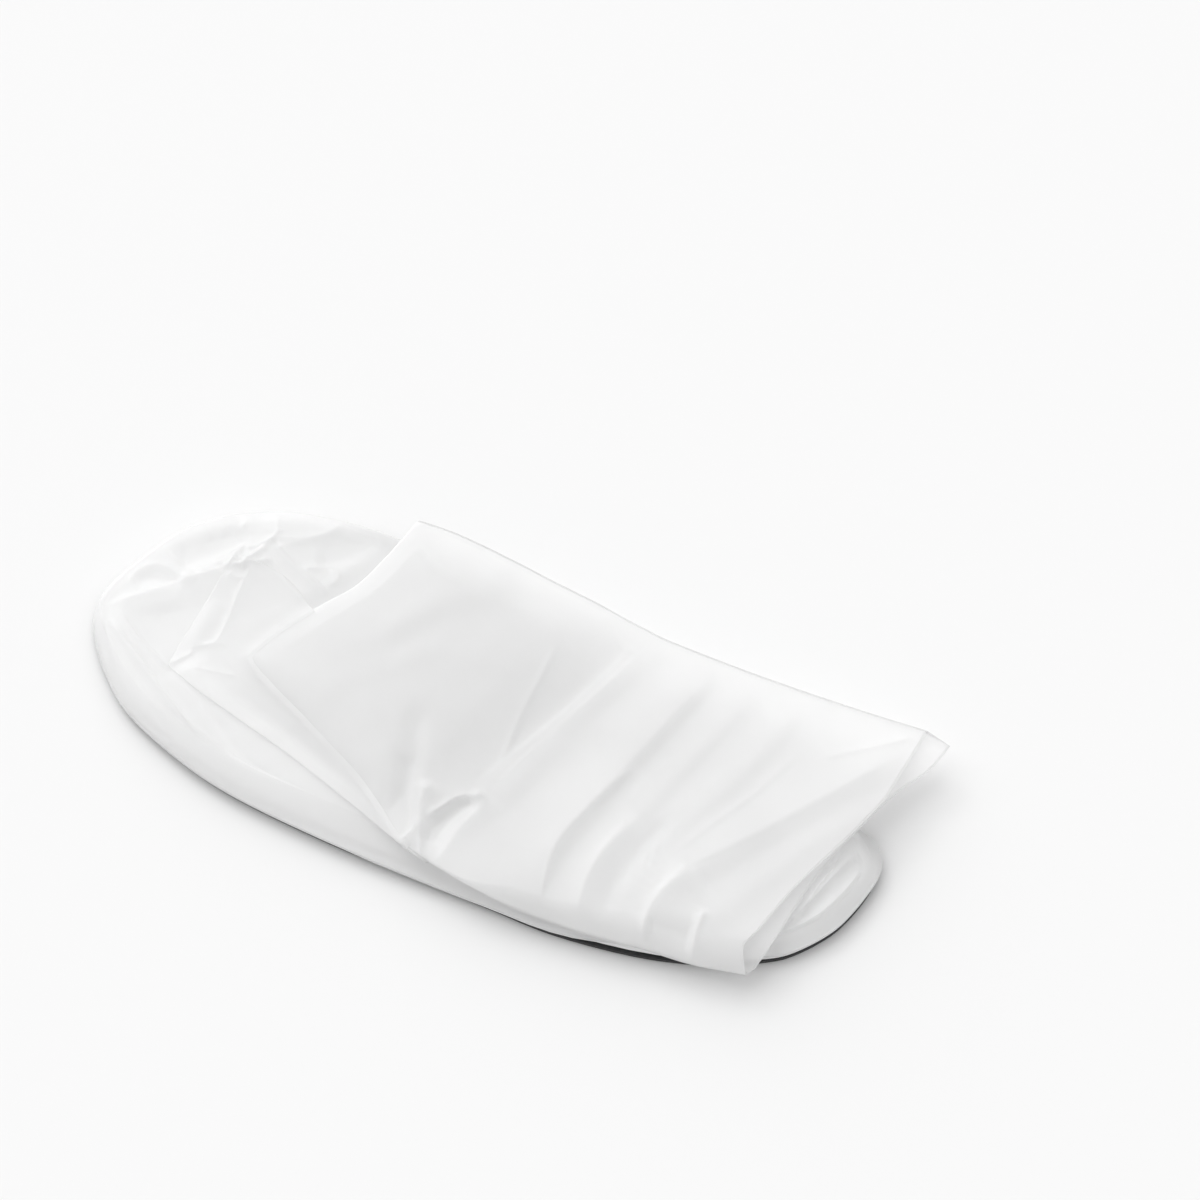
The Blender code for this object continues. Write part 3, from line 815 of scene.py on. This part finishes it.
# %% [markdown]
# The shaft is one tube of film, pressed flat. Its rings start round the ankle, run forward under the
# fold, turn over in a tight bend above the toes and come back as the top leg to the cuff. The far edge
# is a flat weld, the near edge is a soft roll that hangs over the side of the foot.

# %% Shaft film: edges of the top leg
# The two long edges start at the turn and end at the corners of the cuff
NEAR_ROLL = ((11, -54.3), (26, -56.3), (46, -56.9), (60, -56.8), (75, -55.8), (93, -55.4), (110.4, -53.1))
FAR_SEAM = ((-35.8, 68.2), (-14.5, 64.8), (2.7, 61.5), (19.5, 58.6), (32.3, 55.8), (39.6, 54.4),
            (49.9, 52.8), (80.8, 50.6), (115.8, 49.5), (143.9, 49.5))
CUFF_TOP = ((110.4, -53.1), (107, -45.5), (110.4, -37.7), (113.5, -29.5), (118.4, -17.8), (126.3, -2.8),
            (131.5, 7.5), (137, 20), (140.5, 34), (143.9, 49.5))
CUFF_UNDER = ((110.4, -53.1), (113.5, -47.8), (117, -35.5), (122, -16), (127.7, -0.4), (133.1, 11),
              (136.7, 18.5), (142.8, 29), (146.5, 33.5), (150, 39.4), (153, 47.7))

# Lines run from the far side to the near side, so the heel is on their left
SHAFT_SWELLS = (
    (0.4, 4.0, 3.0, (47, 50), (30, 21), (16, -12), (9, -26)),
    (1.5, 3.4, 10.0, (68, 48), (55, 18), (42, -16), (36, -35), (37, -50)),
    (0.5, 3.4, 6.5, (84, 47), (71, 16), (57, -18), (50, -35), (50, -50)),
    (-0.7, 3.6, 3.6, (72, -8), (64, -24), (59.5, -38), (58.5, -54)),
    (-2.2, 4.0, 4.5, (73, -49.5), (82, -49), (91.5, -48)),
    (0.6, 3.8, 7.0, (100, 46), (88, 14), (69, -19), (66, -36)),
    (1.1, 4.6, 10.0, (143, 40), (116, 12), (86, -22), (76, -33), (73, -46)),
    (0.6, 5.0, 8.0, (138, 20), (120, 0), (104, -25), (97, -36), (92, -50)),
    (0.7, 9.0, 9.0, (-45, 62), (-17, 58), (2, 55), (31, 46)),
    (0.6, 6.0, 6.0, (-52, 16), (-30, 43), (-9, 58)),
    (-0.4, 10.0, 10.0, (-60, -10), (-36, 21), (-13, 40), (12, 42)),
    (0.5, 6.0, 5.0, (-66, -9), (-44, 9), (-22, 27)),
    (-0.9, 3.6, 5.0, (-26, 2), (-22, -14), (-20, -27), (-18, -36), (-15, -48)),
    (-0.8, 3.2, 4.6, (-23.5, -16), (-21, -25), (-19, -33), (-16.5, -41), (-14.5, -49)),
    (-1.4, 3.4, 2.6, (-6, -47), (-4, -38), (0, -30), (6, -23.5)),
)
SHAFT_CREASES = (
    (-0.5, 2.2, 8.0, (38, 51), (24, 21), (6, -10), (-1, -23)),
    (0.30, 1.4, 1.6, (39, 51), (32, 35), (21, 12), (9, -10), (4, -22)),
    (0.28, 0.9, 0.9, (43, 51), (36, 36), (25, 14), (14, -8), (7, -24)),
    (0.55, 0.8, 1.1, (12, 40), (10.5, 24), (9, 13), (8.3, -3), (6.6, -12)),
    (0.9, 0.9, 4.5, (53, 5), (42.6, -15.5), (36.7, -30), (36.4, -42), (38, -55)),
    (1.2, 5.0, 3.0, (60, -12), (53, -26), (50, -38), (50, -47), (51, -56)),
    (0.4, 1.0, 4.0, (142, 42), (116, 12), (94, -12), (85, -21), (78, -27)),
    (1.7, 9.0, 1.8, (82, -24), (78, -31), (74.5, -38.4), (73.3, -46), (74.5, -56)),
    (1.2, 1.3, 2.0, (91.5, -37), (91, -42), (91, -48), (92, -56)),
    (0.25, 0.8, 2.0, (106, 30), (96, 10), (84, -8), (74, -24)),
    (0.3, 1.6, 2.4, (-47, 62), (-55, 40), (-69, 20), (-81, 3)),
    (2.2, 3.0, 1.2, (-13.8, -23), (-13, -32), (-11.8, -38), (-12.2, -43), (-16, -49.5)),
    (0.8, 1.0, 0.9, (-11.3, -37), (-8.8, -44.5), (-5, -53)),
    (1.9, 1.0, 1.6, (-9.5, -37.5), (-4.8, -31), (-0.8, -26), (8, -22.5)),
    (0.8, 6.0, 1.6, (9, -21), (3, -36), (0.6, -46), (-2, -53)),
    (0.4, 0.8, 1.2, (141, 46), (128, 37), (112, 27)),
    (0.4, 1.0, 1.6, (-50, 60), (-38, 52), (-26, 50)),
    (0.3, 1.0, 1.6, (22, 56), (32, 47), (40, 44)),
)
print(len(SHAFT_SWELLS) + len(SHAFT_CREASES), "folds in the shaft")

# %% Shaft film: the rings
TOP_POINTS = 158
UNDER_POINTS = 26
LEG_ROWS = 222
ANKLE_ROWS = 12
TURN_ROWS = 9
SHAFT_LOW = 10.8
TURN_MIDDLE = 11.4
TURN_OUT = 0.6
TURN_IN = 0.25
SEAM_LEVEL = 13.4
SEAM_WIDTH = 2.2
LEG_AIR = 0.35

# Near roll: x where it starts to hang and the length over which it does, its size there and its
# growth, the levels of its edge and of the film below with their drop, and the flat strip at the
# edge with the x where that starts to fade and the length over which it does
HANG_FROM, HANG_RUN = 6, 34
ROLL_SIZE, ROLL_GROWTH = 3.0, 8.0
EDGE_LEVEL, EDGE_DROP = 12.2, 3.7
BELOW_LEVEL, BELOW_DROP = 11.9, 4.6
PRESSED_EDGE, PRESSED_TO, PRESSED_FADE = 0.6, 80, 18
# Lower film of the top leg: its level and its drop at the cuff, x where that starts and its length
BOTTOM_LEVEL, BOTTOM_DROP, BOTTOM_FROM, BOTTOM_RUN = 11.8, 0.7, 82, 26

# Level of the top leg across the waves: distance from the valley in millimetres, level
VALLEY_FOOT, VALLEY_LEAN = 12.5, 0.49
LEVELS = curve_through((
    (-120, 14.6), (-90, 15.0), (-62, 15.7), (-38, 15.7), (-24, 15.1), (-12, 14.0), (-3, 13.3),
    (4, 13.2), (14, 13.4), (28, 13.9), (60, 14.3), (100, 14.9), (150, 15.2)))

top_across = 0.5 - 0.5 * np.cos(np.linspace(0, 1, TOP_POINTS) ** 0.94 * math.pi * 0.80)
top_across = top_across / top_across[-1]
under_across = np.r_[0.996, np.linspace(1, 0, UNDER_POINTS + 1)[1:-1]]
loop_across = np.r_[top_across, under_across]
is_top = np.r_[np.ones(TOP_POINTS), np.zeros(UNDER_POINTS)]

fold_edge = along(fold_curve, loop_across)
before = along(fold_curve, np.clip(loop_across - 0.03, 0, 1))
after = along(fold_curve, np.clip(loop_across + 0.03, 0, 1))
tangent = (after - before) / np.hypot(*(after - before).T)[:, None]
to_heel = np.stack([tangent[:, 1], -tangent[:, 0]], 1)
turn_axis = fold_edge + to_heel * TURN_OUT
end_pinch = np.minimum(ease(loop_across / 0.03), ease((1 - loop_across) / 0.03))
radius = np.where(is_top > 0, TURN_IN + (TURN_OUT - TURN_IN) * (0.5 + 0.5 * end_pinch),
                  TURN_IN + (TURN_OUT - TURN_IN) * (0.5 - 0.5 * end_pinch))

shaft_rows = []
ring_across = loop_across * 2 - 1
ring_swell = np.where(is_top > 0, 1, -1) * np.sqrt(np.maximum(0, 1 - ring_across ** 2))
ankle_loop = np.stack([ANKLE_MIDDLE[0] - ANKLE_SIZE[0] / 2 * ring_swell,
                       ANKLE_MIDDLE[1] + ANKLE_SIZE[1] / 2 * ring_across], 1)
for share in np.linspace(0, 1, ANKLE_ROWS, endpoint=False):
    flat = ankle_loop + (turn_axis - ankle_loop) * share
    high = SHAFT_LOW + (TURN_MIDDLE - TURN_IN - SHAFT_LOW) * ease(share * 5)
    z = np.where(is_top > 0, SHAFT_LOW, high)
    z = z + (0.5 * (SHAFT_LOW + high) - z) * (1 - end_pinch)
    shaft_rows.append(np.c_[flat, z])
for angle in np.linspace(-math.pi / 2, math.pi / 2, TURN_ROWS):
    flat = turn_axis - to_heel * (radius * math.cos(angle))[:, None]
    shaft_rows.append(np.c_[flat, TURN_MIDDLE + radius * math.sin(angle)])
print(len(shaft_rows), "rings to the turn")

# %% Shaft film: the top leg
near_line = curve_through((turn_axis[0], *NEAR_ROLL))
far_line = curve_through((turn_axis[TOP_POINTS - 1], *FAR_SEAM))
top_edge = along(curve_through(CUFF_TOP), loop_across)
under_edge = along(curve_through(CUFF_UNDER), loop_across)
cuff_edge = np.where(is_top[:, None] > 0, top_edge, under_edge)
leg_flat = []
for share in np.linspace(0, 1, LEG_ROWS + 1)[1:]:
    chord = turn_axis + (cuff_edge - turn_axis) * share
    near_shift = along(near_line, [share])[0] - (near_line[0] + (near_line[-1] - near_line[0]) * share)
    far_shift = along(far_line, [share])[0] - (far_line[0] + (far_line[-1] - far_line[0]) * share)
    leg_flat.append(chord + (1 - loop_across)[:, None] * near_shift + loop_across[:, None] * far_shift)
lift_at = np.vstack([flat[:TOP_POINTS] for flat in leg_flat])
lifts = relief(lift_at, SHAFT_SWELLS) + relief(lift_at, SHAFT_CREASES, True) + ripple(lift_at, 9, 0.07, 15.0)
lifts = lifts.reshape(LEG_ROWS, TOP_POINTS)

for row, flat in enumerate(leg_flat):
    x, y = flat[:, 0], flat[:, 1]
    near_point, far_point = flat[0], flat[TOP_POINTS - 1]
    from_near = np.hypot(*(flat - near_point).T)
    from_far = np.hypot(*(flat - far_point).T)
    from_fold = np.hypot(*(flat - turn_axis).T)
    hang = ease((near_point[0] - HANG_FROM) / HANG_RUN)
    roll_size = ROLL_SIZE + ROLL_GROWTH * hang
    pressed = PRESSED_EDGE * (1 - ease((near_point[0] - PRESSED_TO) / PRESSED_FADE))
    edge_level = EDGE_LEVEL - EDGE_DROP * hang
    low_level = BELOW_LEVEL - BELOW_DROP * hang
    plateau = np.interp((x - VALLEY_FOOT - VALLEY_LEAN * y) * 0.9, LEVELS[:, 0], LEVELS[:, 1])
    fold_level = TURN_MIDDLE + TURN_OUT
    top = fold_level + (plateau - fold_level) * (1 - np.exp(-from_fold / 14.0))
    seam = SEAM_LEVEL + (fold_level - SEAM_LEVEL) * np.exp(-from_fold / 10.0)
    top = top + (seam - top) * (1 - ease((from_far - SEAM_WIDTH) / 16.0))
    past_roll = 1 - np.clip((from_near - pressed) / roll_size, 0, 1)
    round_off = 0.45 * np.sqrt(1 - past_roll ** 2) + 0.55 * (1 - past_roll ** 1.6)
    top = edge_level + (top - edge_level) * round_off
    bottom = BOTTOM_LEVEL - BOTTOM_DROP * ease((x - BOTTOM_FROM) / BOTTOM_RUN)
    bottom = bottom + (seam - 0.5 - bottom) * (1 - ease((from_far - SEAM_WIDTH) / 12.0))
    bottom = bottom + (low_level - bottom) * (1 - ease((from_near - 2.0) / 9.0))
    bottom = bottom + (edge_level - bottom) * (1 - np.sqrt(np.clip(from_near / 2.5, 0, 1)))
    calm = ease(from_near / 3.0 + 0.35) * ease((from_far - 0.6) / 5.0 + 0.12) * ease(from_fold / 3.0 + 0.1)
    top[:TOP_POINTS] += lifts[row] * calm[:TOP_POINTS]
    z = np.where(is_top > 0, np.maximum(top, bottom + LEG_AIR), bottom)
    shaft_rows.append(np.c_[flat, z])
shaft_film = skin("shaft_film", shaft_rows)
film_wall(shaft_film, FILM_THICKNESS * MM)
shaft_film.data.materials.append(film)
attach(shaft_film, "root")
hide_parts("shaft")
print("shaft film", len(shaft_film.data.polygons), "faces")

# %% [markdown]
# Where the shaft folds forward, the film of the foot is gathered into one flat layer that shows below
# the shaft: a corner points to the toe, and a pleat goes up from it to the crumpled gather. It is a
# ribbon of film between its own free edge and the edge of the folded shaft. A ray is cast down on the
# foot at each of its points and it lies a hair above. At its other side it rises to the fold of the
# shaft and laps over it by a narrow strip, draped in the same way, that thins out and ends just inside
# the shaft's own wall.

# %% Under layer
LAYER_LOW = ((-14, -48.6), (-29, -42.3), (-43.6, -36.8), (-55, -32.6), (-67, -28.4), (-79.9, -24.6),
             (-93.6, -20.4), (-104, -17), (-116, -12))
LAYER_LEFT = ((-116, -12), (-115.2, -3), (-113.6, 5.9), (-112, 16.8), (-110.4, 27.8), (-109.5, 33))
# Points along the low edge and along the left edge, and rows across
LAYER_COUNT = (180, 86, 76)
# Height above the foot, distance from the shaft's edge, and level at that edge
LAYER_ABOVE = 0.45
LAYER_CLEAR = 0.45
LAYER_MEETS = 12.0
# Rows of the lap: how far out from the fold (less than 0: over the shaft), height above, wall share
LAYER_LAP = ((-0.35, 0.20, 0.8), (-0.9, 0.10, 0.5), (-1.5, 0.01, 0.25), (-2.0, -0.12, 0.1))
LAYER_SWELLS = (
    (0.7, 2.4, 3.0, (-20, -46), (-29, -40), (-46, -34), (-67, -26.5), (-86, -21), (-112, -12)),
    (-0.6, 3.5, 3.5, (-92, -14), (-78, -19), (-58, -26), (-40, -34)),
    (0.5, 3.0, 3.0, (-111, -4), (-110, 6), (-108, 18)),
)
LAYER_CREASES = (
    (0.6, 2.6, 0.8, (-102, 37), (-102.3, 30), (-102.9, 20), (-102.5, 11.6), (-103.3, 2), (-106, -0.5),
     (-109, -2.5)),
    (0.3, 1.1, 1.4, (-112.5, -4), (-108, -1.5), (-103.3, 1), (-98, 1.5)),
    (0.6, 1.2, 1.2, (-116, -12), (-112.5, -8), (-109, -4)),
    (0.5, 1.0, 1.0, (-109, 28), (-106, 26.5), (-102.5, 28)),
    (0.4, 1.2, 1.2, (-108, -10), (-98, -9), (-90, -8)),
)


def ground_below(thing, points):
    """Height in millimetres of the highest face of a piece under each point."""
    tree = BVHTree.FromObject(thing, bpy.context.evaluated_depsgraph_get())
    found = []
    for place in to_frame(np.c_[points, np.full(len(points), 60.0)]):
        hit = tree.ray_cast(Vector(place), Vector((0, 0, -1)))[0]
        found.append(hit.z / MM if hit else np.nan)
    found = np.array(found)
    return np.where(np.isnan(found), np.nanmin(found), found)


def fold_share(x, y):
    return near_curve(np.array([[x, y]], float), fold_curve)[1][0]


low_count, left_count, across_count = LAYER_COUNT
tip_share = fold_share(-89.6, -1.6)
inner_share = np.r_[np.linspace(fold_share(-11.5, -48.9), tip_share, low_count),
                    np.linspace(tip_share, fold_share(-75, 24), left_count)[1:]]
inner = along(fold_curve, inner_share)
step = along(fold_curve, inner_share + 0.01) - along(fold_curve, inner_share - 0.01)
outward = np.stack([-step[:, 1], step[:, 0]], 1) / np.hypot(*step.T)[:, None]
outer = np.vstack([along(curve_through(LAYER_LOW), np.linspace(0, 1, low_count)),
                   along(curve_through(LAYER_LEFT), np.linspace(0, 1, left_count))[1:]])
run_share = np.arange(len(outer)) / (len(outer) - 1)
layer_flat = []
for share in np.linspace(0, 1, across_count):
    row = outer + (inner + outward * LAYER_CLEAR - outer) * share
    row[:, 1] += 5.0 * math.sin(math.pi * share) * ease((run_share - 0.80) / 0.20)
    layer_flat.append(row)
layer_flat = np.vstack(layer_flat)
layer_z = ground_below(foot_film, layer_flat) + LAYER_ABOVE
layer_z += relief(layer_flat, LAYER_SWELLS) + relief(layer_flat, LAYER_CREASES, True)
from_shaft, place = near_curve(layer_flat, fold_curve)
rise_length = np.interp(place, (tip_share - 0.02, tip_share + 0.10), (7.0, 3.0))
meets = np.exp(-np.maximum(from_shaft - LAYER_CLEAR, 0) / rise_length)
layer_z = layer_z + (LAYER_MEETS - layer_z) * meets
layer_rows = list(np.c_[layer_flat, layer_z].reshape(across_count, -1, 3))
layer_shares = [1.0] * len(layer_flat)
for out_by, above, share in LAYER_LAP:
    flat = inner + outward * out_by
    layer_rows.append(np.c_[flat, ground_below(shaft_film, flat) + above])
    layer_shares += [share] * len(flat)
under_layer = skin("under_layer", layer_rows, ring=False)
film_wall(under_layer, FILM_THICKNESS * MM, layer_shares)
under_layer.data.materials.append(film)
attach(under_layer, "root")
print("under layer", len(under_layer.data.polygons), "faces")

# %% [markdown]
# A weld leaves a fine raised line, and so does the cut edge of film at the cuff. Geometry Nodes sweep a
# small circle along each of these paths, which are rows of the shaft's own points.

# %% Weld line and cuff hem
bead_tree, given, out = geometry_tree("bead_tree", {"Radius": 0.2 * MM, "Film": None})
lines = bead_tree.nodes.new("GeometryNodeMeshToCurve")
wire(bead_tree, given, "Geometry", lines, "Mesh")
circle = bead_tree.nodes.new("GeometryNodeCurvePrimitiveCircle")
circle.inputs["Resolution"].default_value = 8
wire(bead_tree, given, "Radius", circle, "Radius")
sweep = bead_tree.nodes.new("GeometryNodeCurveToMesh")
sweep.inputs["Fill Caps"].default_value = True
wire(bead_tree, lines, "Curve", sweep, "Curve")
wire(bead_tree, circle, "Curve", sweep, "Profile Curve")
smooth = bead_tree.nodes.new("GeometryNodeSetShadeSmooth")
wire(bead_tree, sweep, "Mesh", smooth, "Geometry")
real = bead_tree.nodes.new("GeometryNodeRealizeInstances")
wire(bead_tree, smooth, "Geometry", real, "Geometry")
paint = bead_tree.nodes.new("GeometryNodeSetMaterial")
wire(bead_tree, real, "Geometry", paint, "Geometry")
wire(bead_tree, given, "Film", paint, "Material")
wire(bead_tree, paint, "Geometry", out, "Geometry")


def bead(name, path, radius, finish, closed=False):
    """A fine round line of film along a path in table millimetres."""
    count = len(path)
    edges = [(k, k + 1) for k in range(count - 1)] + ([(count - 1, 0)] if closed else [])
    mesh = bpy.data.meshes.new(name)
    mesh.from_pydata(to_frame(path).tolist(), edges, [])
    made = link_object(name, mesh)
    run_tree(made, bead_tree, {"Radius": radius * MM, "Film": finish})
    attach(made, "root")
    print(name, len(made.data.polygons), "faces")


WELD_RADIUS = 0.10
WELD_OFFSET = (0, 0.06, 0.04)
HEM_RADIUS = 0.22
seam_path = np.array([row[TOP_POINTS - 1] for row in shaft_rows[ANKLE_ROWS + TURN_ROWS - 1:]])
bead("far_weld", seam_path + WELD_OFFSET, WELD_RADIUS, film)
bead("cuff_hem", shaft_rows[-1], HEM_RADIUS, film, closed=True)
